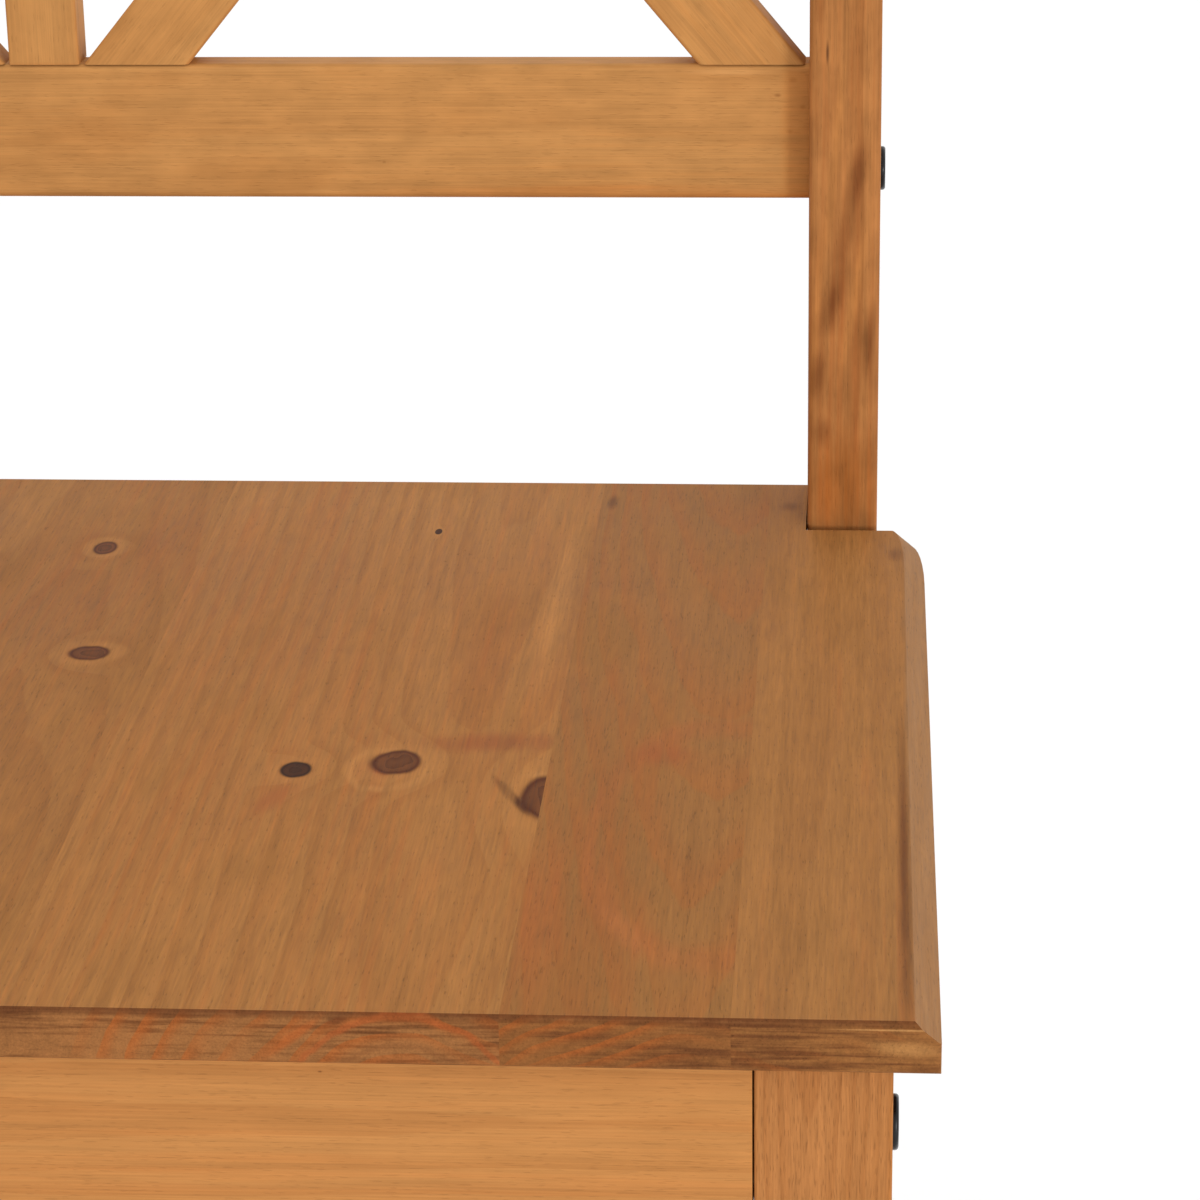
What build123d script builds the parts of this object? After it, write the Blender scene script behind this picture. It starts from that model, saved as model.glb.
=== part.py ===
from build123d import *
import os

# A free-standing potting bench in stained softwood, in millimetres.
# The origin is on the floor under the middle of the worktop. +Z is up, the bench faces -Y,
# and +X is to the right for someone who stands in front of it.

# ---- Worktop ------------------------------------------------------------------------

BOARD_WIDTHS = [101, 132, 105, 124, 148, 81, 92, 166, 74, 67]  # left to right, glued edge to edge
WORKTOP_DEPTH = 526
WORKTOP_HEIGHT = 820
WORKTOP_THICKNESS = 18
SIDE_BEVEL_WIDTH = 8.6
SIDE_BEVEL_DROP = 7.4
FRONT_CHAMFER = 2
LOWER_ARRIS = 1
FRONT_CORNER_RADIUS = 1.5
EAR_PULL_IN = 5  # how far the side edge curves in before it reaches the notch
EAR_CURVE_LENGTH = 45
NOTCH_SIDE_GAP = 0.6
NOTCH_FRONT_GAP = 7

# ---- Frame --------------------------------------------------------------------------

LEG_SIZE = 45
LEG_SIDE_SETBACK = 15
LEG_FRONT_SETBACK = 12
POST_WIDTH = 30
POST_DEPTH = 54
POST_SIDE_SETBACK = 20
APRON_HEIGHT = 62
LOWER_RAIL_HEIGHT = 45
LOWER_RAIL_BOTTOM = 190
FRONT_RAIL_THICKNESS = 28
RAIL_THICKNESS = 22  # rear and side rails and the shelf bearer
FRONT_JOINT_GAP = 0.5  # between a bolted rail's end and its leg
REAR_JOINT_GAP = 0.1

SLAT_COUNT = 5
SLAT_WIDTH = 72
SLAT_THICKNESS = 15
SLAT_GAP = 11

BACK_RAIL_CLEARANCE = 140  # from the worktop up to the back rail
BACK_RAIL_HEIGHT = 58
BACK_FRAME_THICKNESS = 18
PANEL_COUNT = 3
STILE_WIDTH = 30
BRACE_FOOT = 45  # a brace's width measured along the rail
BRACE_CLEARANCE = 2  # between a brace's foot and the post or stile beside it
BRACE_SLOPE = 1.2  # rise over run

POST_ARRIS = 3
BACK_RAIL_ARRIS = 3
BRACE_ARRIS = 2
FINE_ARRIS = 1
POST_TOP_CHAMFER = 3
LEG_FOOT_CHAMFER = 2

# ---- Fasteners ----------------------------------------------------------------------

FIT_CLEARANCE = 0.2  # on the diameter of a dowel, pin, barrel nut or screw
END_CLEARANCE = 0.5  # beyond the end of a dowel, pin or screw

BOLT_DIAMETER = 6
BOLT_HOLE = 7
BOLT_HEAD_DIAMETER = 18.5
BOLT_HEAD_HEIGHT = 2
BOLT_HEAD_ROUNDING = 1.2
BOLT_SOCKET_ACROSS_FLATS = 4
BOLT_SOCKET_DEPTH = 2.5
BOLT_REACH = 36  # into the rail from its end
BOLT_TIP_ROOM = 6
BARREL_DIAMETER = 10
BARREL_INSET = 28  # from the rail's end to the barrel nut's axis
BARREL_RECESS = 3  # below the rail's rear face
BACK_RAIL_BOLT_INSET = 11.5  # from the rail's outer long edge to the bolt's axis

DOWEL_DIAMETER = 8
DOWEL_LENGTH = 24
DOWEL_SPREAD = 20  # from an apron's middle to its dowels
LOWER_DOWEL_SPREAD = 12
BACK_RAIL_DOWEL_INSET = 17  # from the rail's inner long edge to the dowel's axis
SMALL_DOWEL_DIAMETER = 6
SMALL_DOWEL_LENGTH = 20

BRACKET_LEG = 25
BRACKET_WIDTH = 20
BRACKET_THICKNESS = 2
BRACKET_HOLE_REACH = 15  # from the bracket's outer corner to its holes
BRACKET_PLACES_X = [-360, -120, 120, 360]
BRACKET_SCREW_SHANK = 3.5
BRACKET_SCREW_HEAD = 7
BRACKET_SCREW_HEAD_HEIGHT = 2.4
BRACKET_SCREW_HEAD_ROUNDING = 1
BRACKET_SCREW_LENGTH = 14

SLAT_SCREW_SHANK = 4
SLAT_SCREW_HEAD = 8
SLAT_SCREW_LENGTH = 34
SLAT_SCREW_SPREAD = 20  # either side of a slat's middle
SCREW_SLOT_WIDTH = 0.9
SCREW_SLOT_DEPTH = 1

GLIDE_DIAMETER = 26
GLIDE_HEIGHT = 5
GLIDE_ROUNDING = 1.5
GLIDE_PIN_DIAMETER = 4
GLIDE_PIN_LENGTH = 16

# ---- Places worked out from the dimensions above ------------------------------------

HALF_WIDTH = sum(BOARD_WIDTHS) / 2
FRONT = -WORKTOP_DEPTH / 2
BACK = WORKTOP_DEPTH / 2
UNDERSIDE = WORKTOP_HEIGHT - WORKTOP_THICKNESS

LEG_OUTER = HALF_WIDTH - LEG_SIDE_SETBACK
LEG_INNER = LEG_OUTER - LEG_SIZE
LEG_FRONT = FRONT + LEG_FRONT_SETBACK
LEG_BACK = LEG_FRONT + LEG_SIZE
LEG_CENTRE = (LEG_OUTER - LEG_SIZE / 2, LEG_FRONT + LEG_SIZE / 2)

POST_OUTER = HALF_WIDTH - POST_SIDE_SETBACK
POST_INNER = POST_OUTER - POST_WIDTH
POST_FRONT = BACK - POST_DEPTH
POST_CENTRE = (POST_OUTER - POST_WIDTH / 2, BACK - POST_DEPTH / 2)

NOTCH_X = POST_INNER - NOTCH_SIDE_GAP
NOTCH_Y = POST_FRONT - NOTCH_FRONT_GAP

SIDE_RAIL_INNER = POST_CENTRE[0] - RAIL_THICKNESS / 2
SIDE_RAIL_OUTER = POST_CENTRE[0] + RAIL_THICKNESS / 2
FRONT_RAIL_Y = (LEG_FRONT, LEG_FRONT + FRONT_RAIL_THICKNESS)
REAR_RAIL_Y = (POST_CENTRE[1] - RAIL_THICKNESS / 2, POST_CENTRE[1] + RAIL_THICKNESS / 2)
BACK_FRAME_Y = (POST_CENTRE[1] - BACK_FRAME_THICKNESS / 2, POST_CENTRE[1] + BACK_FRAME_THICKNESS / 2)

APRON_Z = (UNDERSIDE - APRON_HEIGHT, UNDERSIDE)
LOWER_RAIL_Z = (LOWER_RAIL_BOTTOM, LOWER_RAIL_BOTTOM + LOWER_RAIL_HEIGHT)
SLAT_Z = (LOWER_RAIL_Z[1], LOWER_RAIL_Z[1] + SLAT_THICKNESS)
SLAT_MIDDLES = [
    (LEG_BACK + POST_FRONT) / 2 + (number - (SLAT_COUNT - 1) / 2) * (SLAT_WIDTH + SLAT_GAP)
    for number in range(SLAT_COUNT)
]

PANEL_WIDTH = (2 * POST_INNER - (PANEL_COUNT - 1) * STILE_WIDTH) / PANEL_COUNT
BRACE_RUN = PANEL_WIDTH - 2 * BRACE_CLEARANCE - BRACE_FOOT
BACK_RAIL_Z = (WORKTOP_HEIGHT + BACK_RAIL_CLEARANCE, WORKTOP_HEIGHT + BACK_RAIL_CLEARANCE + BACK_RAIL_HEIGHT)
TOP_RAIL_BOTTOM = BACK_RAIL_Z[1] + BRACE_RUN * BRACE_SLOPE
TOP_RAIL_Z = (TOP_RAIL_BOTTOM, TOP_RAIL_BOTTOM + BACK_RAIL_HEIGHT)

SIDES = {"left": -1, "right": 1}
FASTENER_NODES = [
    "front_connector_bolts",
    "rear_connector_bolts",
    "barrel_nuts",
    "joint_dowels",
    "brace_dowels",
    "worktop_brackets",
    "bracket_screws",
    "slat_screws",
    "foot_glides",
]

pieces = {}
fasteners = {name: [] for name in FASTENER_NODES}


# ---- Shapes -------------------------------------------------------------------------

def block(x, y, z):
    """A box between a low and a high value along each axis."""
    size = [high - low for low, high in (x, y, z)]
    middle = [(low + high) / 2 for low, high in (x, y, z)]
    return Pos(*middle) * Box(*size)


def timber(x, y, z, grain, arris):
    """A planed length of wood, its long arrises rounded."""
    piece = block(x, y, z)
    return fillet(piece.edges().filter_by(grain), arris)


def rod(diameter, start, end):
    """A cylinder from one point to another."""
    along = Vector(end) - Vector(start)
    cylinder = Cylinder(diameter / 2, along.length, align=(Align.CENTER, Align.CENTER, Align.MIN))
    return Plane(origin=start, z_dir=along) * cylinder


def mirrored(side, low, high):
    """The span from low to high on the right of the bench, or its mirror image on the left."""
    return (low, high) if side > 0 else (-high, -low)


def nearest_edge(shape, point):
    return shape.edges().sort_by_distance(point)[0]


def cut(tool, *names):
    """Take one tool out of each named piece."""
    for name in names:
        pieces[name] = pieces[name] - tool


# ---- Worktop ------------------------------------------------------------------------

def worktop_outline(inset):
    """The worktop in plan, with its side edges moved in."""
    side = HALF_WIDTH - inset
    tip = side - EAR_PULL_IN
    bend = NOTCH_Y - EAR_CURVE_LENGTH
    return make_face([
        Line((-side, FRONT), (side, FRONT)),
        Line((side, FRONT), (side, bend)),
        EllipticalCenterArc((tip, bend), EAR_PULL_IN, EAR_CURVE_LENGTH, 0, arc_size=90),
        Line((tip, NOTCH_Y), (NOTCH_X, NOTCH_Y)),
        Line((NOTCH_X, NOTCH_Y), (NOTCH_X, BACK)),
        Line((NOTCH_X, BACK), (-NOTCH_X, BACK)),
        Line((-NOTCH_X, BACK), (-NOTCH_X, NOTCH_Y)),
        Line((-NOTCH_X, NOTCH_Y), (-tip, NOTCH_Y)),
        EllipticalCenterArc((-tip, bend), EAR_PULL_IN, EAR_CURVE_LENGTH, 90, arc_size=90),
        Line((-side, bend), (-side, FRONT)),
    ])


def worktop_panel():
    """The glued-up panel, before it is parted into its boards."""
    bevel_bottom = WORKTOP_HEIGHT - SIDE_BEVEL_DROP
    lower = Pos(0, 0, UNDERSIDE) * extrude(worktop_outline(0), bevel_bottom - UNDERSIDE)
    bevel = loft(
        [
            Pos(0, 0, bevel_bottom) * worktop_outline(0),
            Pos(0, 0, WORKTOP_HEIGHT) * worktop_outline(SIDE_BEVEL_WIDTH),
        ],
        ruled=True,
    )
    panel = chamfer(nearest_edge(lower + bevel, (0, FRONT, WORKTOP_HEIGHT)), FRONT_CHAMFER)
    for point in ((0, FRONT, UNDERSIDE), (0, BACK, UNDERSIDE), (0, BACK, WORKTOP_HEIGHT)):
        panel = chamfer(nearest_edge(panel, point), LOWER_ARRIS)
    corner_height = (UNDERSIDE + bevel_bottom) / 2
    for side in SIDES.values():
        panel = fillet(nearest_edge(panel, (side * HALF_WIDTH, FRONT, corner_height)), FRONT_CORNER_RADIUS)
    return panel


def make_worktop():
    """Part the panel into its boards, after the holes for the bracket screws are drilled."""
    panel = worktop_panel()
    hole = BRACKET_SCREW_SHANK + FIT_CLEARANCE
    depth = BRACKET_SCREW_LENGTH - BRACKET_THICKNESS + END_CLEARANCE
    for place in bracket_places():
        panel = panel - place * rod(hole, (0, BRACKET_HOLE_REACH, 0), (0, BRACKET_HOLE_REACH, depth))
    left = -HALF_WIDTH
    for number, width in enumerate(BOARD_WIDTHS, start=1):
        board = panel & block((left, left + width), (FRONT, BACK), (UNDERSIDE, WORKTOP_HEIGHT))
        pieces[f"worktop_board_{number}"] = board
        left = left + width


# ---- Brackets that hold the worktop down --------------------------------------------

def bracket_places():
    """The inner top edge of an apron at each bracket, turned so that +Y points away from the apron."""
    places = [Pos(x, FRONT_RAIL_Y[1], UNDERSIDE) for x in BRACKET_PLACES_X]
    places += [Pos(x, REAR_RAIL_Y[0], UNDERSIDE) * Rot(0, 0, 180) for x in BRACKET_PLACES_X]
    places.append(Pos(-SIDE_RAIL_INNER, 0, UNDERSIDE) * Rot(0, 0, -90))
    places.append(Pos(SIDE_RAIL_INNER, 0, UNDERSIDE) * Rot(0, 0, 90))
    return places


def bracket_hosts():
    """The apron behind each bracket, in the same order."""
    runs = [["front_apron"] * len(BRACKET_PLACES_X), ["rear_apron"] * len(BRACKET_PLACES_X)]
    return runs[0] + runs[1] + ["side_apron_left", "side_apron_right"]


def pan_head_screw():
    """A screw along +Z with the underside of its head at the origin."""
    head = rod(BRACKET_SCREW_HEAD, (0, 0, -BRACKET_SCREW_HEAD_HEIGHT), (0, 0, 0))
    head = fillet(head.edges().sort_by(Axis.Z)[0], BRACKET_SCREW_HEAD_ROUNDING)
    return head + rod(BRACKET_SCREW_SHANK, (0, 0, 0), (0, 0, BRACKET_SCREW_LENGTH))


def make_brackets():
    width = (-BRACKET_WIDTH / 2, BRACKET_WIDTH / 2)
    reach = BRACKET_HOLE_REACH
    hole = BRACKET_SCREW_SHANK + FIT_CLEARANCE
    angle = block(width, (0, BRACKET_THICKNESS), (-BRACKET_LEG, 0))
    angle = angle + block(width, (0, BRACKET_LEG), (-BRACKET_THICKNESS, 0))
    angle = angle - rod(hole, (0, reach, -BRACKET_THICKNESS), (0, reach, 0))
    angle = angle - rod(hole, (0, 0, -reach), (0, BRACKET_THICKNESS, -reach))
    screw = pan_head_screw()
    up = Pos(0, reach, -BRACKET_THICKNESS) * screw
    across = Pos(0, BRACKET_THICKNESS, -reach) * Rot(90, 0, 0) * screw
    bite = BRACKET_SCREW_LENGTH - BRACKET_THICKNESS + END_CLEARANCE
    for place, host in zip(bracket_places(), bracket_hosts()):
        fasteners["worktop_brackets"].append(place * angle)
        fasteners["bracket_screws"] += [place * up, place * across]
        cut(place * rod(hole, (0, -bite, -reach), (0, 0, -reach)), host)


# ---- Legs, posts, aprons and rails --------------------------------------------------

def upright(x, y, z, arris, cut_end, end_chamfer):
    """A leg or post with one end chamfered: face 0 is its foot and face -1 its top."""
    piece = block(x, y, z)
    piece = chamfer(piece.faces().sort_by(Axis.Z)[cut_end].edges(), end_chamfer)
    return fillet(piece.edges().filter_by(Axis.Z), arris)


def make_uprights():
    for name, side in SIDES.items():
        pieces[f"front_leg_{name}"] = upright(
            mirrored(side, LEG_INNER, LEG_OUTER), (LEG_FRONT, LEG_BACK), (GLIDE_HEIGHT, UNDERSIDE),
            FINE_ARRIS, 0, LEG_FOOT_CHAMFER)
        pieces[f"rear_post_{name}"] = upright(
            mirrored(side, POST_INNER, POST_OUTER), (POST_FRONT, BACK), (GLIDE_HEIGHT, TOP_RAIL_Z[1]),
            POST_ARRIS, -1, POST_TOP_CHAMFER)


def make_rails():
    """Rails from side to side, and the glued rails that tie each leg to its post."""
    at_leg = (FRONT_JOINT_GAP - LEG_INNER, LEG_INNER - FRONT_JOINT_GAP)
    at_post = (REAR_JOINT_GAP - POST_INNER, POST_INNER - REAR_JOINT_GAP)
    pieces["front_apron"] = timber(at_leg, FRONT_RAIL_Y, APRON_Z, Axis.X, FINE_ARRIS)
    pieces["rear_apron"] = timber(at_post, REAR_RAIL_Y, APRON_Z, Axis.X, FINE_ARRIS)
    pieces["lower_front_rail"] = timber(at_leg, FRONT_RAIL_Y, LOWER_RAIL_Z, Axis.X, FINE_ARRIS)
    pieces["lower_rear_rail"] = timber(at_post, REAR_RAIL_Y, LOWER_RAIL_Z, Axis.X, FINE_ARRIS)
    pieces["back_rail"] = timber(at_post, BACK_FRAME_Y, BACK_RAIL_Z, Axis.X, BACK_RAIL_ARRIS)
    pieces["top_rail"] = timber(at_post, BACK_FRAME_Y, TOP_RAIL_Z, Axis.X, BACK_RAIL_ARRIS)
    for name, side in SIDES.items():
        across = mirrored(side, SIDE_RAIL_INNER, SIDE_RAIL_OUTER)
        between = (LEG_BACK, POST_FRONT)
        pieces[f"side_apron_{name}"] = timber(across, between, APRON_Z, Axis.Y, FINE_ARRIS)
        pieces[f"lower_side_rail_{name}"] = timber(across, between, LOWER_RAIL_Z, Axis.Y, FINE_ARRIS)


# ---- Shelf --------------------------------------------------------------------------

def make_shelf():
    for number, middle in enumerate(SLAT_MIDDLES, start=1):
        pieces[f"shelf_slat_{number}"] = timber(
            (-SIDE_RAIL_OUTER, SIDE_RAIL_OUTER), (middle - SLAT_WIDTH / 2, middle + SLAT_WIDTH / 2), SLAT_Z,
            Axis.X, FINE_ARRIS)
    pieces["shelf_bearer"] = timber(
        (-RAIL_THICKNESS / 2, RAIL_THICKNESS / 2), (FRONT_RAIL_Y[1], REAR_RAIL_Y[0]), LOWER_RAIL_Z,
        Axis.Y, FINE_ARRIS)


def slat_screw():
    """A countersunk cross-head screw along -Z, with the top of its head at the origin."""
    sink = (SLAT_SCREW_HEAD - SLAT_SCREW_SHANK) / 2
    head = Cone(SLAT_SCREW_SHANK / 2, SLAT_SCREW_HEAD / 2, sink,
                align=(Align.CENTER, Align.CENTER, Align.MAX))
    arm = (-SLAT_SCREW_HEAD / 4, SLAT_SCREW_HEAD / 4)
    slot = (-SCREW_SLOT_WIDTH / 2, SCREW_SLOT_WIDTH / 2)
    cross = block(arm, slot, (-SCREW_SLOT_DEPTH, 0)) + block(slot, arm, (-SCREW_SLOT_DEPTH, 0))
    return head + rod(SLAT_SCREW_SHANK, (0, 0, -SLAT_SCREW_LENGTH), (0, 0, -sink)) - cross


def slat_screw_hole():
    """Countersink and pilot hole, a little larger than the screw all round."""
    sink = (SLAT_SCREW_HEAD - SLAT_SCREW_SHANK) / 2
    wider = FIT_CLEARANCE / 2
    mouth = Cone(SLAT_SCREW_SHANK / 2 + wider, SLAT_SCREW_HEAD / 2 + wider, sink,
                 align=(Align.CENTER, Align.CENTER, Align.MAX))
    pilot = rod(SLAT_SCREW_SHANK + FIT_CLEARANCE, (0, 0, -SLAT_SCREW_LENGTH - END_CLEARANCE), (0, 0, 0))
    return mouth + pilot


def screw_slats():
    """Two screws where each slat crosses a side rail or the bearer."""
    screw = slat_screw()
    hole = slat_screw_hole()
    supports = {
        "lower_side_rail_left": -POST_CENTRE[0],
        "shelf_bearer": 0,
        "lower_side_rail_right": POST_CENTRE[0],
    }
    for number, middle in enumerate(SLAT_MIDDLES, start=1):
        for support, x in supports.items():
            for y in (middle - SLAT_SCREW_SPREAD, middle + SLAT_SCREW_SPREAD):
                place = Pos(x, y, SLAT_Z[1])
                fasteners["slat_screws"].append(place * screw)
                cut(place * hole, f"shelf_slat_{number}", support)


# ---- Back frame ---------------------------------------------------------------------

def sloping_member(foot, top):
    """A brace whose ends are cut level, given the middle of each end."""
    half = BRACE_FOOT / 2
    (bottom_z, top_z) = (BACK_RAIL_Z[1], TOP_RAIL_Z[0])
    outline = [(foot - half, bottom_z), (foot + half, bottom_z), (top + half, top_z), (top - half, top_z)]
    front = Plane(origin=(0, BACK_FRAME_Y[0], 0), x_dir=(1, 0, 0), z_dir=(0, -1, 0))
    return extrude(front * make_face(Polyline(*outline, close=True)), -BACK_FRAME_THICKNESS)


def eased(member):
    """Round the four long arrises of a brace."""
    rise = TOP_RAIL_Z[0] - BACK_RAIL_Z[1]
    return fillet(member.edges().filter_by(lambda edge: edge.length > rise), BRACE_ARRIS)


def make_back_frame():
    """Crosses of two half-lapped braces, parted by stiles."""
    wide = (-HALF_WIDTH, HALF_WIDTH)
    tall = (BACK_RAIL_Z[1], TOP_RAIL_Z[0])
    front_half = block(wide, (BACK_FRAME_Y[0], POST_CENTRE[1]), tall)
    rear_half = block(wide, (POST_CENTRE[1], BACK_FRAME_Y[1]), tall)
    for panel in range(PANEL_COUNT):
        left = -POST_INNER + panel * (PANEL_WIDTH + STILE_WIDTH) + BRACE_CLEARANCE + BRACE_FOOT / 2
        right = left + BRACE_RUN
        rising = sloping_member(left, right)
        falling = sloping_member(right, left)
        rising_name = f"brace_rising_{panel + 1}"
        falling_name = f"brace_falling_{panel + 1}"
        pieces[rising_name] = eased(rising) - (falling & front_half)
        pieces[falling_name] = eased(falling) - (rising & rear_half)
        pin_to_rails(rising_name, left, right)
        pin_to_rails(falling_name, right, left)
    for number in range(1, PANEL_COUNT):
        left = -POST_INNER + number * PANEL_WIDTH + (number - 1) * STILE_WIDTH
        pieces[f"stile_{number}"] = timber(
            (left, left + STILE_WIDTH), BACK_FRAME_Y, tall,
            Axis.Z, FINE_ARRIS)
        pin_to_rails(f"stile_{number}", left + STILE_WIDTH / 2, left + STILE_WIDTH / 2)


# ---- Joints between the pieces ------------------------------------------------------

def dowel(node, diameter, length, centre, along, *hosts):
    """A dowel centred on the joint between two hosts, in a hole a little larger than itself."""
    half = Vector(along) * (length / 2)
    room = Vector(along) * (length / 2 + END_CLEARANCE)
    middle = Vector(centre)
    fasteners[node].append(rod(diameter, middle - half, middle + half))
    cut(rod(diameter + FIT_CLEARANCE, middle - room, middle + room), *hosts)


def pin_to_rails(name, foot, top):
    """A small upright dowel at each end of a brace or stile."""
    for rail, x, z in (("back_rail", foot, BACK_RAIL_Z[1]), ("top_rail", top, TOP_RAIL_Z[0])):
        dowel("brace_dowels", SMALL_DOWEL_DIAMETER, SMALL_DOWEL_LENGTH, (x, POST_CENTRE[1], z), (0, 0, 1),
              rail, name)


def connector_bolt(length):
    """A flat-headed bolt along -X, with the underside of its head at the origin."""
    head = rod(BOLT_HEAD_DIAMETER, (0, 0, 0), (BOLT_HEAD_HEIGHT, 0, 0))
    head = fillet(head.edges().sort_by(Axis.X)[-1], BOLT_HEAD_ROUNDING)
    socket = extrude(RegularPolygon(BOLT_SOCKET_ACROSS_FLATS / 2, 6, major_radius=False), BOLT_SOCKET_DEPTH)
    turned = Pos(BOLT_HEAD_HEIGHT - BOLT_SOCKET_DEPTH, 0, 0) * Rot(0, 90, 0) * socket
    return head + rod(BOLT_DIAMETER, (0, 0, 0), (-length, 0, 0)) - turned


def bolt_rail(node, upright, rail, outer, inner, gap, thickness, y, bolt_z, dowel_z):
    """Bolt both ends of a rail through its uprights into barrel nuts, with a dowel beside each bolt."""
    end = inner - gap
    bolt = connector_bolt(outer - end + BOLT_REACH)
    nut_x = end - BARREL_INSET
    half = thickness / 2
    for name, side in SIDES.items():
        host = f"{upright}_{name}"
        turn = Rot(0, 0, 0) if side > 0 else Rot(0, 0, 180)
        fasteners[node].append(Pos(side * outer, y, bolt_z) * turn * bolt)
        tip = end - BOLT_REACH - BOLT_TIP_ROOM
        cut(rod(BOLT_HOLE, (side * outer, y, bolt_z), (side * tip, y, bolt_z)), host, rail)
        nut = rod(BARREL_DIAMETER, (side * nut_x, y - half + BARREL_RECESS, bolt_z),
                  (side * nut_x, y + half - BARREL_RECESS, bolt_z))
        bore = rod(BOLT_DIAMETER + FIT_CLEARANCE, (side * (nut_x - BARREL_DIAMETER), y, bolt_z),
                   (side * (nut_x + BARREL_DIAMETER), y, bolt_z))
        fasteners["barrel_nuts"].append(nut - bore)
        cut(rod(BARREL_DIAMETER + FIT_CLEARANCE, (side * nut_x, y - half + BARREL_RECESS, bolt_z),
                (side * nut_x, y + half, bolt_z)), rail)
        dowel("joint_dowels", DOWEL_DIAMETER, DOWEL_LENGTH,
              (side * inner, y, dowel_z), (1, 0, 0), host, rail)


def bolt_rails():
    """Every rail that the bench is taken apart at."""
    apron_z = sum(APRON_Z) / 2
    lower_z = sum(LOWER_RAIL_Z) / 2
    front_y = sum(FRONT_RAIL_Y) / 2
    at_leg = ("front_leg", LEG_OUTER, LEG_INNER, FRONT_JOINT_GAP, FRONT_RAIL_THICKNESS, front_y)
    at_post = ("rear_post", POST_OUTER, POST_INNER, REAR_JOINT_GAP, RAIL_THICKNESS, POST_CENTRE[1])
    in_back = at_post[:4] + (BACK_FRAME_THICKNESS, POST_CENTRE[1])
    joints = [
        ("front_connector_bolts", "front_apron", at_leg, apron_z, apron_z - DOWEL_SPREAD),
        ("front_connector_bolts", "lower_front_rail", at_leg, lower_z, lower_z - LOWER_DOWEL_SPREAD),
        ("rear_connector_bolts", "rear_apron", at_post, apron_z, apron_z - DOWEL_SPREAD),
        ("rear_connector_bolts", "lower_rear_rail", at_post, lower_z, lower_z - LOWER_DOWEL_SPREAD),
        ("rear_connector_bolts", "back_rail", in_back, BACK_RAIL_Z[0] + BACK_RAIL_BOLT_INSET,
         BACK_RAIL_Z[1] - BACK_RAIL_DOWEL_INSET),
        ("rear_connector_bolts", "top_rail", in_back, TOP_RAIL_Z[1] - BACK_RAIL_BOLT_INSET,
         TOP_RAIL_Z[0] + BACK_RAIL_DOWEL_INSET),
    ]
    for node, rail, (upright, outer, inner, gap, thickness, y), bolt_z, dowel_z in joints:
        bolt_rail(node, upright, rail, outer, inner, gap, thickness, y, bolt_z, dowel_z)


def dowel_glued_rails():
    """Two dowels at each end of the side rails and of the shelf bearer."""
    size = (DOWEL_DIAMETER, DOWEL_LENGTH)
    along = (0, 1, 0)
    for name, side in SIDES.items():
        x = side * POST_CENTRE[0]
        for rail, span, spread in (("side_apron", APRON_Z, DOWEL_SPREAD),
                                   ("lower_side_rail", LOWER_RAIL_Z, LOWER_DOWEL_SPREAD)):
            for z in (sum(span) / 2 - spread, sum(span) / 2 + spread):
                held = f"{rail}_{name}"
                dowel("joint_dowels", *size, (x, LEG_BACK, z), along, f"front_leg_{name}", held)
                dowel("joint_dowels", *size, (x, POST_FRONT, z), along, f"rear_post_{name}", held)
    for z in (sum(LOWER_RAIL_Z) / 2 - LOWER_DOWEL_SPREAD, sum(LOWER_RAIL_Z) / 2 + LOWER_DOWEL_SPREAD):
        dowel("joint_dowels", *size, (0, FRONT_RAIL_Y[1], z), along, "lower_front_rail", "shelf_bearer")
        dowel("joint_dowels", *size, (0, REAR_RAIL_Y[0], z), along, "lower_rear_rail", "shelf_bearer")


def make_glides():
    """A rounded plastic pad on a pin under each leg and post."""
    pad = rod(GLIDE_DIAMETER, (0, 0, 0), (0, 0, GLIDE_HEIGHT))
    pad = fillet(pad.edges().sort_by(Axis.Z)[0], GLIDE_ROUNDING)
    top = GLIDE_HEIGHT + GLIDE_PIN_LENGTH
    glide = pad + rod(GLIDE_PIN_DIAMETER, (0, 0, GLIDE_HEIGHT), (0, 0, top))
    hole = rod(GLIDE_PIN_DIAMETER + FIT_CLEARANCE, (0, 0, GLIDE_HEIGHT), (0, 0, top + END_CLEARANCE))
    for name, side in SIDES.items():
        for upright, (x, y) in (("front_leg", LEG_CENTRE), ("rear_post", POST_CENTRE)):
            place = Pos(side * x, y, 0)
            fasteners["foot_glides"].append(place * glide)
            cut(place * hole, f"{upright}_{name}")


# ---- The whole bench ----------------------------------------------------------------

make_worktop()
make_uprights()
make_rails()
make_shelf()
make_back_frame()
bolt_rails()
dowel_glued_rails()
make_brackets()
screw_slats()
make_glides()

os.makedirs("parts", exist_ok=True)
for name, piece in pieces.items():
    export_step(piece, f"parts/{name}.step")
for name, group in fasteners.items():
    export_step(Compound(children=group), f"parts/{name}.step")
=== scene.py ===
import math
import random

import bpy
from mathutils import Euler, Matrix, Vector


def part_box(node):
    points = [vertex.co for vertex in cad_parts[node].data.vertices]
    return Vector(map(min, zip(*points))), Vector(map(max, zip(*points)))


# The looks of a stained softwood potting bench. The frame is in metres; the grain of each
# piece of wood is laid out in millimetres, in that piece's own axes.

# ---- Camera -------------------------------------------------------------------------

CAMERA_PLACE = (0.5169, -1.3443, 1.3705)
CAMERA_DOWN = 20.63  # degrees below the horizon
CAMERA_LEFT = 4.14  # degrees left of straight ahead
CAMERA_ROLL = -0.92
CAMERA_LENS = 114.0
SENSOR_WIDTH = 36.0
NEAREST_SEEN = 0.05

# ---- Light and surroundings ---------------------------------------------------------

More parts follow.
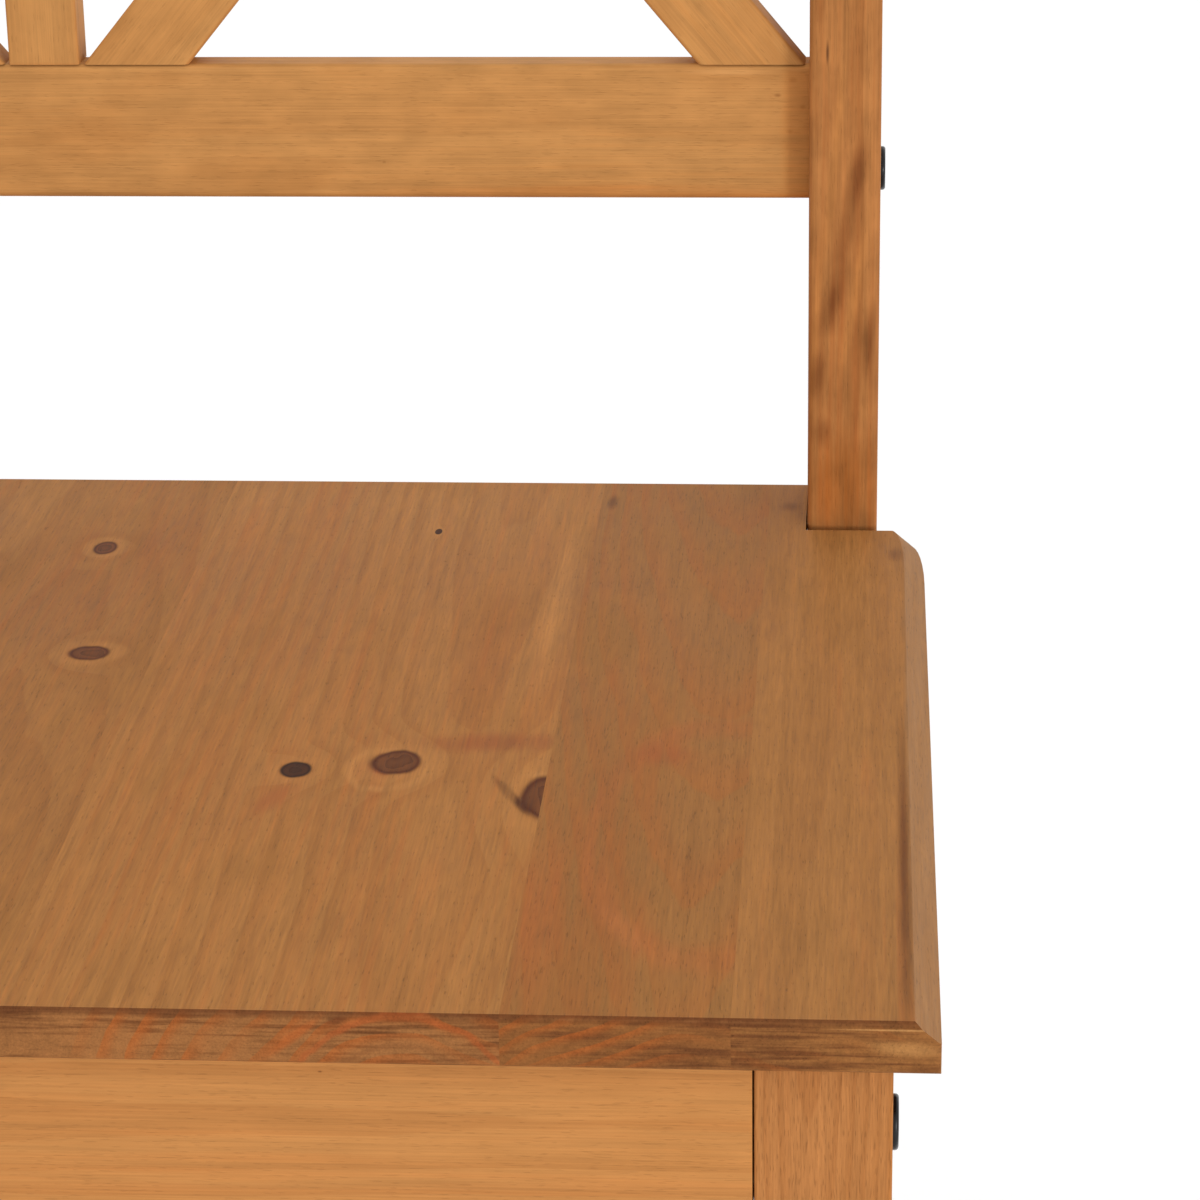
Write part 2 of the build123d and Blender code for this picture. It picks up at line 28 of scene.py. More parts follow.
FLOOR_SIZE = 24.0
FLOOR_COLOUR = (0.93, 0.93, 0.93)
ROOM_COLOUR = (1.0, 1.0, 1.0)
ROOM_STRENGTH = 1.08
KEY_PLACE = (2.55, -3.1, 1.2)
KEY_TARGET = (0.45, 0.0, 0.9)
KEY_SIZE = 0.6
KEY_POWER = 50.0
PAPER_GRAIN = 60.0  # per metre
PAPER_RELIEF = 0.0002
PAPER_ROUGHNESS = 0.9

# ---- Hardware -----------------------------------------------------------------------

FINE_SPECKLE = (0.0, 3.0)  # noise shift and octaves of detail
BROAD_SPECKLE = (4.0, 2.0)
BROADER = 9  # how much broader the broad noise is
FINE_COLOUR, BROAD_COLOUR = 0.6, 0.4
FINE_ROUGHNESS, BROAD_ROUGHNESS = 0.1, 0.3

# ---- Wood ---------------------------------------------------------------------------

MM = 1000.0  # millimetres in a metre

# Noise in the wood: its size in millimetres across the face, into it and along the grain, the
# channel that tells it from the others, and its octaves of detail
DRIFT = ((60, 60, 420), 0, 2.0)
RIPPLE = ((8, 8, 50), 1, 1.0)
FIBRE_CHANNEL, FIBRE_DETAIL = 2, 3.0
PORES = ((0.45, 0.45, 4.5), 3, 0.0)
BLOTCH = ((34, 34, 80), 4, 3.0)
STREAK = ((3, 3, 95), 5, 4.0)
CLOUD = ((48, 12, 40), 6, 2.0)
DRAWN_IN = ((26, 1.3, 40), 7, 3.0)
RING_PATCHES = ((70, 40, 40), 8, 2.0)
MOTTLE = ((9, 9, 16), 9, 2.0)
SEED_STEPS, CHANNEL_STEPS = (7.31, 2.17, 4.93), (3.7, -5.3, 1.0)  # how far each moves the noise

# Where each smooth rise starts and ends
END_TURN = (0.45, 0.62)  # how far a face points along the grain
LATE_RISE, LATE_FALL = (0.3, 0.92), (0.95, 1.0)  # in rings
PORE_EDGE = 0.14  # in noise, beyond the look's own start
RED_RISE, DULL_RISE = (-0.05, 0.35), (0.0, 0.2)  # in noise
DRAWN_IN_RISE, RINGS_SHOW_RISE = (-0.08, 0.26), (-0.1, 0.12)  # in noise
RUBBED_RISE = (0.2, 1.5)  # in millimetres from an edge

# Knots and marks, in their own radii
KNOT_PUSH = (0.3, 4.0)  # how far a knot bends the rings round it
KNOT_HALO_RISE, KNOT_HALO_FALL = (1.0, 1.2), (1.3, 2.2)
KNOT_RIM = (0.68, 0.95)
KNOT_OUTLINE = (0.84, 1.1)
KNOT_RINGS = 1.8  # for each radius
KNOT_RING_BEND = 2.2
KNOT_RING_STRENGTH = 0.5
MARK_SOFT, END_MARK_SOFT = 0.1, 0.2  # where a mark starts to fade
MARK_RAGGED, END_MARK_RAGGED = 0.4, 0.08
MARK_STREAK = 1.6  # how much a mark follows the streaks

# How much one thing follows another
BAND_SHIFT = 0.9  # rings, with their uneven spacing
CLOUD_SHARE = 0.8
EDGE_RAGGED = 1.6
FIBRE_ROUGHNESS, BLOTCH_ROUGHNESS, END_ROUGHNESS = 0.25, 0.15, 0.12
FIBRE_HEIGHT, RING_HEIGHT, PORE_HEIGHT = 0.55, 0.25, 0.5
DARK_ARRIS_REACH = 2.6  # millimetres that stain gathers below a board's upper front edge

RIGHT = Vector((1, 0, 0))
AWAY = Vector((0, 1, 0))
UP = Vector((0, 0, 1))

# Across the face, into it and along the grain, for each way that a piece lies
BOARD = (RIGHT, UP, AWAY)
UPRIGHT = (RIGHT, AWAY, UP)
LENGTHWISE = (UP, AWAY, RIGHT)
SIDEWAYS = (UP, RIGHT, AWAY)
SLAT = (AWAY, UP, RIGHT)


def srgb(red, green, blue):
    """A display colour, 0 to 255 a channel, as the linear colour that shaders take."""

    def linear(value):
        share = value / 255
        return share / 12.92 if share <= 0.04045 else ((share + 0.055) / 1.055) ** 2.4

    return tuple(linear(value) for value in (red, green, blue))


def rgba(colour):
    return (*colour, 1.0)


COLOUR_MIX_INPUTS = (0, 6, 7)  # the mix node's factor and its two colours
COLOUR_MIX_OUTPUT = 2


class Field:
    """A value that varies over a surface, held as a socket. Arithmetic on it adds nodes."""

    def __init__(self, graph, socket):
        self.graph = graph
        self.socket = socket

    def __add__(self, other):
        return self.graph.math("ADD", self, other)

    def __sub__(self, other):
        return self.graph.math("SUBTRACT", self, other)

    def __rsub__(self, other):
        return self.graph.math("SUBTRACT", other, self)

    def __mul__(self, other):
        return self.graph.math("MULTIPLY", self, other)

    def __truediv__(self, other):
        return self.graph.math("DIVIDE", self, other)

    def __pow__(self, other):
        return self.graph.math("POWER", self, other)

    def size(self):
        return self.graph.math("ABSOLUTE", self)

    def least(self, other):
        return self.graph.math("MINIMUM", self, other)

    def most(self, other):
        return self.graph.math("MAXIMUM", self, other)

    def rise(self, low, high):
        """0 below low, 1 above high, and a smooth rise between them."""
        node = self.graph.add(
            "ShaderNodeMapRange",
            {"Value": self, "From Min": low, "From Max": high},
            interpolation_type="SMOOTHSTEP",
        )
        return Field(self.graph, node.outputs["Result"])

    __radd__ = __add__
    __rmul__ = __mul__


class Graph:
    """One material's node tree. Values are numbers, tuples or Fields."""

    def __init__(self, name):
        self.material = bpy.data.materials.new(name)
        self.material.use_nodes = True
        self.tree = self.material.node_tree
        self.tree.nodes.clear()
        self.place = self.add("ShaderNodeTexCoord", {})

    def add(self, kind, inputs, **settings):
        node = self.tree.nodes.new(kind)
        for name, value in settings.items():
            setattr(node, name, value)
        for name, value in inputs.items():
            if isinstance(value, Field):
                self.tree.links.new(value.socket, node.inputs[name])
            else:
                node.inputs[name].default_value = value
        return node

    def math(self, operation, *values):
        node = self.add("ShaderNodeMath", dict(enumerate(values)), operation=operation)
        return Field(self, node.outputs[0])

    def along(self, vector, axis):
        node = self.add("ShaderNodeVectorMath", {0: vector, 1: tuple(axis)}, operation="DOT_PRODUCT")
        return Field(self, node.outputs["Value"])

    def scaled(self, vector, factors, shift):
        node = self.add(
            "ShaderNodeVectorMath", {0: vector, 1: factors, 2: shift}, operation="MULTIPLY_ADD"
        )
        return Field(self, node.outputs["Vector"])

    def join(self, x, y, z):
        node = self.add("ShaderNodeCombineXYZ", {0: x, 1: y, 2: z})
        return Field(self, node.outputs[0])

    def noise(self, vector, detail=2.0):
        return self.add("ShaderNodeTexNoise", {"Vector": vector, "Scale": 1.0, "Detail": detail})

    def mix(self, factor, first, second, blend="MIX"):
        node = self.add(
            "ShaderNodeMix", {}, data_type="RGBA", blend_type=blend, clamp_factor=True
        )
        for number, value in zip(COLOUR_MIX_INPUTS, (factor, first, second)):
            socket = node.inputs[number]
            if isinstance(value, Field):
                self.tree.links.new(value.socket, socket)
            else:
                socket.default_value = rgba(value) if isinstance(value, tuple) else value
        return Field(self, node.outputs[COLOUR_MIX_OUTPUT])

    def shine(self, colour, roughness, height, relief, gloss=0.5, metallic=0.0):
        """The surface shader: relief is the height's full range in metres."""
        bump = self.add("ShaderNodeBump", {"Height": height, "Strength": 1.0, "Distance": relief})
        shader = self.add(
            "ShaderNodeBsdfPrincipled",
            {"Base Color": colour, "Roughness": roughness, "Normal": Field(self, bump.outputs[0])},
        )
        shader.inputs["Specular IOR Level"].default_value = gloss
        shader.inputs["Metallic"].default_value = metallic
        output = self.add("ShaderNodeOutputMaterial", {})
        self.tree.links.new(shader.outputs[0], output.inputs[0])
        return self.material


def spread(node, axes):
    """The middle and half size of a CAD node along each of three axes, in millimetres."""
    points = [v.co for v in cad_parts[node].data.vertices]
    middle, half = [], []
    for axis in axes:
        reach = [axis.dot(p) * MM for p in points]
        middle.append((min(reach) + max(reach)) / 2)
        half.append((max(reach) - min(reach)) / 2)
    return middle, half


class Wood:
    """A solid piece of wood on one CAD node, measured in millimetres from its middle. Its three
    axes are the directions across its face, into it and along its grain."""

    def __init__(self, node, axes, look, seed):
        self.look = look
        self.seed = seed
        self.graph = Graph(f"wood_{node}")
        middle, self.half = spread(node, axes)
        position = Field(self.graph, self.graph.place.outputs["Object"])
        normal = Field(self.graph, self.graph.place.outputs["Normal"])
        self.place = [
            self.graph.along(position, axis) * MM - centre for axis, centre in zip(axes, middle)
        ]
        self.across, self.depth, self.length = self.place
        self.local = self.graph.join(*self.place)
        self.end = self.graph.along(normal, axes[2]).size().rise(*END_TURN)

        self.ripple = self.level(*RIPPLE)
        thick, long = look["fibre_size"]
        self.fibre = self.level((thick, thick, long), FIBRE_CHANNEL, FIBRE_DETAIL)
        pore_from = look["pore_from"]
        self.pores = self.level(*PORES).rise(pore_from, pore_from + PORE_EDGE)
        self.streak = self.level(*STREAK)
        self.blotch = self.level(*BLOTCH)
        self.mottle = self.level(*MOTTLE)

    def noise(self, size, channel, detail):
        shift = tuple(self.seed * s + channel * c for s, c in zip(SEED_STEPS, CHANNEL_STEPS))
        vector = self.graph.scaled(self.local, tuple(1 / s for s in size), shift)
        return self.graph.noise(vector, detail)

    def level(self, size, channel, detail):
        """Noise as one value that strays either side of 0."""
        return Field(self.graph, self.noise(size, channel, detail).outputs["Fac"]) - 0.5

    def spot(self, mark, v):
        """Distance from a mark's middle, or from its outline if it is a line, 1 at its edge."""
        turn = math.radians(mark.get("turn", 0.0))
        c, s = math.cos(turn), math.sin(turn)
        du, dv = self.across - mark["x"], v - mark["y"]
        u = (du * c + dv * s) / mark["wide"]
        v = (dv * c - du * s) / mark["long"]
        distance = (u**2.0 + v**2.0) ** 0.5 + self.ripple * mark.get("ragged", MARK_RAGGED)
        return (distance - 1).size() / mark["line"] if "line" in mark else distance

    def grow(self, pith, lean, spacing, knots):
        """Growth rings round a pith that wanders a little, bent by the knots."""
        drift = Field(self.graph, self.noise(*DRIFT).outputs["Color"])
        parts = self.graph.add("ShaderNodeSeparateColor", {0: drift}).outputs
        drift_across, drift_depth, self.bands = (Field(self.graph, parts[i]) - 0.5 for i in range(3))
        wander = self.look["wander"]
        from_pith_across = self.across - pith[0] - self.length * lean[0] + drift_across * wander
        from_pith_depth = self.depth - pith[1] - self.length * lean[1] + drift_depth * wander
        radius = (from_pith_across**2.0 + from_pith_depth**2.0) ** 0.5
        radius = radius + self.ripple * self.look["ripple"]
        self.knots = [(self.spot(knot, self.length), knot) for knot in knots]
        for distance, knot in self.knots:
            radius = radius + (1 - distance.rise(*KNOT_PUSH)) * knot["lift"] * spacing
        step = self.graph.math("FRACT", radius / spacing + self.bands * BAND_SHIFT)
        self.late = step.rise(*LATE_RISE) * (1 - step.rise(*LATE_FALL))

    def side_colour(self, marks):
        """The colour of faces along the grain."""
        look, mix = self.look, self.graph.mix
        colour = mix(self.late * look["contrast"], look["early"], look["late"])
        red = (self.bands + self.streak).rise(*RED_RISE) * look["red_share"]
        colour = mix(red, colour, look["red"])
        colour = mix(self.blotch.rise(*DULL_RISE) * look["dull_share"], colour, look["dull"])
        for mark in marks:
            edge = self.spot(mark, self.length).rise(mark.get("soft", MARK_SOFT), 1.0)
            strength = (1 - edge) * mark["strength"] * (1 + self.streak * MARK_STREAK)
            colour = mix(strength, colour, mark["colour"])
        for distance, knot in self.knots:
            colour = self.with_knot(colour, distance, knot)
        return colour

    def with_knot(self, colour, distance, knot):
        """A pale halo, then the knot itself: a darker edge round a faintly ringed heart."""
        mix = self.graph.mix
        halo = distance.rise(*KNOT_HALO_RISE) * (1 - distance.rise(*KNOT_HALO_FALL))
        colour = mix(halo * knot["halo"], colour, self.look["halo"])
        bend = self.mottle * KNOT_RING_BEND + self.ripple
        rings = self.graph.math("FRACT", distance * KNOT_RINGS + bend)
        heart = mix(rings * KNOT_RING_STRENGTH, knot["colour"], knot["rim"])
        heart = mix(distance.rise(*KNOT_RIM), heart, knot["edge"])
        return mix(1 - distance.rise(*KNOT_OUTLINE), colour, heart)

    def end_colour(self, marks):
        """End grain: darker, with stain drawn in along it and a ring showing here and there."""
        look, mix = self.look, self.graph.mix
        stain = self.level(*DRAWN_IN) + self.level(*CLOUD) * CLOUD_SHARE
        colour = mix(stain.rise(*DRAWN_IN_RISE), look["end_early"], look["end_dark"])
        rings_show = self.level(*RING_PATCHES).rise(*RINGS_SHOW_RISE)
        colour = mix(self.late * rings_show * look["end_contrast"], colour, look["end_late"])
        for mark in marks:
            edge = self.spot(dict(mark, ragged=END_MARK_RAGGED), self.depth).rise(END_MARK_SOFT, 1.0)
            colour = mix((1 - edge) * mark["strength"], colour, mark["colour"])
        return colour

    def rubbing(self, rubbed):
        """How far the edges are rubbed: an edge is where two of the rubbed axes' ends meet."""
        gaps = [self.half[i] - self.place[i].size() for i in rubbed]
        low, high = gaps[0].least(gaps[1]), gaps[0].most(gaps[1])
        edge = high if len(gaps) == 2 else low.most(high.least(gaps[2]))
        return (1 - (edge + self.ripple * EDGE_RAGGED).rise(*RUBBED_RISE)) * self.look["wear"]

    def shaded(self, colour):
        """The colour, lighter and darker where the stain took unevenly."""
        look = self.look
        shade = 1 + self.blotch * look["blotch"] + self.mottle * look["mottle"]
        shade = shade + self.streak * look["streak"] + self.fibre * look["fibre"]
        shade = shade - self.pores * look["pores"]
        return self.graph.mix(1.0, colour, self.graph.join(shade, shade, shade), "MULTIPLY")

    def material(self, marks, end_marks, rubbed):
        look = self.look
        colour = self.graph.mix(self.end, self.side_colour(marks), self.end_colour(end_marks))
        colour = self.shaded(self.graph.mix(self.rubbing(rubbed), colour, look["worn"]))
        roughness = look["roughness"] + self.fibre * FIBRE_ROUGHNESS
        roughness = roughness + self.blotch * BLOTCH_ROUGHNESS + self.end * END_ROUGHNESS
        height = self.fibre * FIBRE_HEIGHT + self.late * RING_HEIGHT - self.pores * PORE_HEIGHT
        return self.graph.shine(colour, roughness, height, look["relief"], look["gloss"])


def wood(
    node, axes, look, seed, pith, lean, spacing,
    marks=(), knots=(), end_marks=(), rubbed=(0, 1, 2),
):
    """Dresses a CAD node as wood. pith is where the rings centre, from the piece's middle, and
    lean is how far that moves for each millimetre of length. rubbed names the axes whose ends
    are free faces."""
    piece = Wood(node, axes, look, seed)
    piece.grow(pith, lean, spacing, knots)
    dress(node, piece.material(marks, end_marks, rubbed))


def moved(marks, x, y):
    """Marks placed on the bench, placed instead from a piece's middle."""
    return [dict(mark, x=mark["x"] - x, y=mark["y"] - y) for mark in marks]


def dress(node, material):
    """Puts one material on a CAD node."""
    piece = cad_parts[node]
    piece.data.materials.clear()
    piece.data.materials.append(material)


def simple(name, base, vary, grain, roughness, relief, metallic=0.0):
    """A moulded or metal surface: fine and broad noise in its colour, roughness and height.
    grain is the fine noise's scale per metre."""
    graph = Graph(name)
    position = Field(graph, graph.place.outputs["Object"])

    def speckle(scale, shift, detail):
        vector = graph.scaled(position, (scale,) * 3, (shift,) * 3)
        return Field(graph, graph.noise(vector, detail).outputs["Fac"])

    fine = speckle(grain, *FINE_SPECKLE)
    broad = speckle(grain / BROADER, *BROAD_SPECKLE)
    colour = graph.mix(fine * FINE_COLOUR + broad * BROAD_COLOUR, base, vary)
    roughness = roughness + (broad - 0.5) * BROAD_ROUGHNESS + (fine - 0.5) * FINE_ROUGHNESS
    return graph.shine(colour, roughness, fine, relief, metallic=metallic)


# ---- The palette --------------------------------------------------------------------

TOP = dict(
    early=srgb(162, 110, 59),
    late=srgb(140, 86, 42),
    red=srgb(152, 88, 42),
    dull=srgb(134, 92, 48),
    halo=srgb(178, 122, 66),
    worn=srgb(160, 108, 62),
    end_early=srgb(146, 94, 52),
    end_dark=srgb(98, 58, 30),
    end_late=srgb(150, 78, 32),
    contrast=0.28,
    end_contrast=0.6,
    red_share=0.5,
    dull_share=0.35,
    wander=18.0,
    ripple=1.4,
    blotch=0.3,
    mottle=0.12,
    streak=0.5,
    fibre=0.62,
    fibre_size=(0.8, 16),
    pores=0.22,
    pore_from=0.17,
    wear=0.35,
    roughness=0.55,
    gloss=0.06,
    relief=0.0001,
)
FRAME = dict(
    TOP,
    early=srgb(178, 122, 68),
    late=srgb(154, 96, 48),
    red=srgb(166, 104, 53),
    worn=srgb(180, 118, 62),
    dull=srgb(156, 104, 54),
    contrast=0.3,
    red_share=0.35,
    wander=10.0,
    blotch=0.2,
    streak=0.42,
    fibre=0.42,
    fibre_size=(0.7, 55),
    pores=0.12,
)
LEG = dict(
    FRAME,
    early=srgb(164, 108, 60),
    late=srgb(142, 86, 42),
    red=srgb(152, 92, 46),
    worn=srgb(172, 108, 52),
    dull=srgb(140, 90, 46),
    contrast=0.35,
    fibre=0.7,
    fibre_size=(0.55, 12),
    pores=0.2,
    pore_from=0.1,
)
HONEY = dict(
    FRAME,
    early=srgb(188, 135, 78),
    late=srgb(170, 114, 60),
    red=srgb(178, 118, 60),
    contrast=0.2,
    blotch=0.4,
    mottle=0.35,
    streak=0.35,
    fibre=0.4,
    pores=0.1,
)
RUSSET = dict(
    FRAME,
    early=srgb(169, 112, 62),
    late=srgb(132, 78, 37),
    red=srgb(136, 74, 34),
    worn=srgb(160, 98, 50),
    dull=srgb(120, 74, 38),
    contrast=0.45,
    red_share=0.7,
    dull_share=0.6,
    blotch=0.6,
    mottle=0.6,
    streak=0.8,
    fibre=0.5,
    fibre_size=(0.9, 30),
    pores=0.1,
)

DARK_STAIN = srgb(92, 52, 28)
KNOT = dict(colour=srgb(72, 42, 26), rim=srgb(48, 29, 20), edge=srgb(38, 23, 17), halo=0.35)
RED_KNOT = dict(colour=srgb(112, 66, 36), rim=srgb(66, 38, 24), edge=srgb(78, 38, 22), halo=0.45)

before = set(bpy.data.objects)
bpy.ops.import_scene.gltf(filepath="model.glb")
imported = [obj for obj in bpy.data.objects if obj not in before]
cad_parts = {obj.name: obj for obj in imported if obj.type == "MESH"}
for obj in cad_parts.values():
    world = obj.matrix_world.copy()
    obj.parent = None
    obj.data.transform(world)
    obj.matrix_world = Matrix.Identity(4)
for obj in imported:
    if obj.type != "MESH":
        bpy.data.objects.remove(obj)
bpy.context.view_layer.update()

# ---- The worktop --------------------------------------------------------------------


def board(number, seed, pith, lean, spacing, marks=(), knots=(), end_marks=(), tone=1.0, **changes):
    """One board of the worktop. Marks and knots are placed in the bench's own x and y, and
    marks on its end grain in x and the height above the board's middle."""
    node = f"worktop_board_{number}"
    middle, half = spread(node, BOARD)
    x, y = middle[0], middle[2]
    dark_arris = dict(x=x, y=half[1], wide=400, long=DARK_ARRIS_REACH, colour=DARK_STAIN, strength=0.75)
    look = dict(TOP, **changes)
    for key in ("early", "late", "red"):
        look[key] = tuple(c * tone for c in look[key])
    wood(
        node, BOARD, look, seed, pith, lean, spacing,
        marks=moved(marks, x, y),
        knots=moved(knots, x, y),
        end_marks=moved((dark_arris, *end_marks), x, 0),
        rubbed=(1, 2),
    )


board(
    8,
    seed=3.1,
    pith=(51.0, -32.0),
    lean=(0.0, 0.035),
    spacing=8.5,
    tone=1.05,
    knots=[
        dict(KNOT, x=311, y=-66, wide=6, long=8, lift=1.2),
        dict(RED_KNOT, x=347, y=-58, wide=10, long=12, lift=1.6),
        dict(RED_KNOT, x=406, y=-88, wide=11, long=21, lift=1.6),
        dict(KNOT, x=336, y=196, wide=1.5, long=3.5, lift=0.3),
    ],
    marks=[
        dict(
            x=393.5, y=-89, wide=3.6, long=29, turn=25, soft=0.25, ragged=0.9,
            colour=srgb(78, 44, 24), strength=0.95,
        ),
        dict(x=341, y=-64, wide=13, long=14, colour=srgb(146, 80, 46), strength=0.5),
        dict(x=344, y=-64, wide=15, long=19, line=0.22, colour=srgb(180, 126, 70), strength=0.45),
        dict(x=402, y=-68, wide=9, long=5, colour=srgb(182, 128, 72), strength=0.6),
        dict(x=380, y=-38, wide=42, long=14, turn=6, colour=srgb(140, 78, 44), strength=0.6),
        dict(x=307, y=-92, wide=8, long=24, turn=-20, colour=srgb(150, 84, 46), strength=0.5),
        dict(x=371, y=60, wide=14, long=150, colour=srgb(152, 88, 42), strength=0.35),
        dict(x=394, y=120, wide=9, long=160, colour=srgb(184, 128, 70), strength=0.5),
    ],
    end_marks=[
        dict(x=372, y=-30, wide=38.5, long=38.5, line=0.045, colour=srgb(150, 76, 36), strength=0.6),
        dict(x=338, y=1, wide=2.6, long=15, turn=-52, colour=srgb(158, 80, 34), strength=0.6),
        dict(x=372, y=-30, wide=28, long=28, line=0.05, colour=srgb(116, 70, 38), strength=0.4),
        dict(x=352, y=7, wide=6, long=2.5, turn=20, colour=srgb(86, 48, 26), strength=0.7),
    ],
    end_early=srgb(138, 90, 50),
)
board(
    9,
    seed=5.7,
    pith=(22.0, -52.0),
    lean=(0.0, 0.07),
    spacing=6.0,
    tone=0.87,
    late=srgb(172, 103, 50),
    contrast=0.45,
    end_early=srgb(124, 78, 40),
    marks=[
        dict(x=409, y=236, wide=3.5, long=14, colour=srgb(84, 54, 34), strength=0.6),
        dict(
            x=468, y=-120, wide=44, long=100, line=0.16, ragged=0.1,
            colour=srgb(164, 96, 50), strength=0.42,
        ),
        dict(x=439, y=-196, wide=7, long=26, turn=24, colour=srgb(176, 108, 58), strength=0.5),
        dict(x=446, y=-48, wide=18, long=15, colour=srgb(150, 82, 44), strength=0.45),
        dict(x=411, y=-190, wide=11, long=95, colour=srgb(172, 98, 50), strength=0.4),
    ],
)
board(
    10,
    seed=8.3,
    pith=(-60.0, -150.0),
    lean=(0.02, 0.0),
    spacing=7.0,
    tone=0.96,
    contrast=0.15,
    marks=[
        dict(x=534.2, y=-150, wide=3.6, long=190, colour=srgb(98, 56, 28), strength=0.7),
        # painted shade: darker, duller colour over the right side bevel, against the key light that
        # strikes it more squarely than the top
        dict(x=541.2, y=0, wide=6.5, long=600, soft=0.75, colour=srgb(146, 104, 64), strength=0.8),
        dict(x=487, y=232, wide=6, long=9, colour=srgb(108, 70, 44), strength=0.5),
        dict(x=533, y=172, wide=5, long=12, colour=srgb(100, 62, 42), strength=0.5),
    ],
    end_early=srgb(130, 84, 44),
    end_marks=[
        # painted highlight: a pale line along the lower edge of the front chamfer, where the edge
        # catches the light
        dict(x=531, y=6.6, wide=26, long=0.5, colour=srgb(186, 136, 82), strength=0.6),
        dict(x=534, y=0, wide=16, long=4, turn=-4, colour=srgb(166, 118, 68), strength=0.6),
    ],
)

chance = random.Random(41)
KNOT_EDGE_GAP = 15  # from a knot's middle to a glue line, at least
KNOT_REACH_Y = 200  # from the worktop's middle line, at most


def scattered_knot(low, high):
    """A knot somewhere between two glue lines, clear of the board's ends."""
    return dict(
        chance.choice((KNOT, RED_KNOT)),
        x=chance.uniform(low + KNOT_EDGE_GAP, high - KNOT_EDGE_GAP),
        y=chance.uniform(-KNOT_REACH_Y, KNOT_REACH_Y),
        wide=chance.uniform(4, 9),
        long=chance.uniform(6, 12),
        lift=1.3,
    )


for number in range(1, 8):
    node = f"worktop_board_{number}"
    low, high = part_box(node)
    knots = [scattered_knot(low.x * MM, high.x * MM) for _ in range(chance.choice((0, 1, 2)))]
    board(
        number,
        seed=10.0 + number * 1.9,
        pith=(chance.uniform(-40, 40), chance.uniform(-90, -35)),
        lean=(chance.uniform(-0.02, 0.02), chance.uniform(-0.05, 0.05)),
        spacing=chance.uniform(5, 9),
        tone=chance.uniform(0.86, 1.04),
        knots=knots,
    )

# ---- The frame ----------------------------------------------------------------------


def timber(node, axes, look, spacing=4.5, marks=()):
    """A frame piece, cut from its own place in the log. Marks are placed by the bench's own
    measures across the face and along the grain."""
    far = chance.uniform(35, 110)
    side = chance.uniform(-25, 25)
    lean = (chance.uniform(-0.01, 0.01), chance.uniform(-0.03, 0.03))
    middle, _ = spread(node, axes)
    seed = chance.uniform(0, 40)
    wood(node, axes, look, seed, (side, -far), lean, spacing, moved(marks, middle[0], middle[2]))


SMUDGE = srgb(104, 56, 26)
PALE_BAND = srgb(186, 124, 66)
POST_MARKS = [
    dict(x=506, y=985, wide=3.5, long=70, turn=-5, colour=PALE_BAND, strength=0.45),
    dict(x=498, y=905, wide=2.5, long=60, turn=-3, colour=PALE_BAND, strength=0.4),
    dict(x=514, y=920, wide=3.5, long=50, turn=-9, colour=PALE_BAND, strength=0.45),
    dict(x=515, y=974, wide=5.5, long=22, turn=-12, colour=SMUDGE, strength=0.75),
    dict(x=510, y=948, wide=5, long=24, turn=-16, colour=SMUDGE, strength=0.4),
    dict(x=505, y=920, wide=6.5, long=24, turn=-15, colour=SMUDGE, strength=0.65),
    dict(x=499, y=888, wide=5.5, long=17, turn=-10, colour=SMUDGE, strength=0.55),
    dict(x=521, y=904, wide=4, long=22, turn=-6, colour=SMUDGE, strength=0.55),
    dict(x=501, y=862, wide=6.5, long=10, colour=SMUDGE, strength=0.5),
    dict(x=502.5, y=1027, wide=0.9, long=7, colour=srgb(70, 40, 24), strength=0.8),
    dict(x=510, y=838, wide=20, long=36, colour=srgb(156, 90, 36), strength=0.55),
]
RAIL_SPECK = srgb(120, 72, 36)
BACK_RAIL_MARKS_AND_PAINTED_LIGHT = [
    dict(x=1005, y=481.5, wide=1.3, long=2.2, colour=RAIL_SPECK, strength=0.45),
    dict(x=1011.6, y=488, wide=1.5, long=2.5, colour=RAIL_SPECK, strength=0.45),
    dict(x=989.4, y=486.6, wide=1.2, long=2.0, colour=RAIL_SPECK, strength=0.35),
    dict(x=1000, y=492, wide=1.5, long=2.0, colour=RAIL_SPECK, strength=0.45),
    dict(x=976, y=314, wide=0.9, long=1.2, colour=RAIL_SPECK, strength=0.45),
    dict(x=962, y=420, wide=6, long=150, colour=srgb(178, 108, 50), strength=0.5),
    dict(x=1015, y=462, wide=2.2, long=26, colour=srgb(204, 150, 92), strength=0.6),
    # painted light: a paler, more orange patch on the rail's right end, lifting the shadow that the post
    # casts there
    dict(x=989, y=494, wide=70, long=13, soft=0.6, ragged=0.1, colour=srgb(200, 132, 68), strength=0.45),
]
FRONT_APRON_MARKS = [
    dict(x=797, y=409, wide=0.6, long=1.2, colour=srgb(110, 66, 34), strength=0.8),
    dict(x=793, y=344, wide=0.5, long=1.0, colour=srgb(110, 66, 34), strength=0.8),
]

for node in ("front_leg_left", "front_leg_right"):
    timber(node, UPRIGHT, LEG, 3.0)
timber("rear_post_left", UPRIGHT, RUSSET, 6.0)
timber("rear_post_right", UPRIGHT, RUSSET, 6.0, POST_MARKS)
timber("front_apron", LENGTHWISE, FRAME, 5.0, FRONT_APRON_MARKS)
for node in ("rear_apron", "lower_front_rail", "lower_rear_rail"):
    timber(node, LENGTHWISE, FRAME, 5.0)
for node in ("side_apron_left", "side_apron_right", "lower_side_rail_left", "lower_side_rail_right"):
    timber(node, SIDEWAYS, FRAME)
timber("shelf_bearer", SIDEWAYS, FRAME)
for number in range(1, 6):
    timber(f"shelf_slat_{number}", SLAT, FRAME, 6.0)
timber("back_rail", LENGTHWISE, HONEY, 6.0, BACK_RAIL_MARKS_AND_PAINTED_LIGHT)
timber("top_rail", LENGTHWISE, HONEY, 6.0)
for node in ("stile_1", "stile_2"):
    timber(node, UPRIGHT, HONEY)

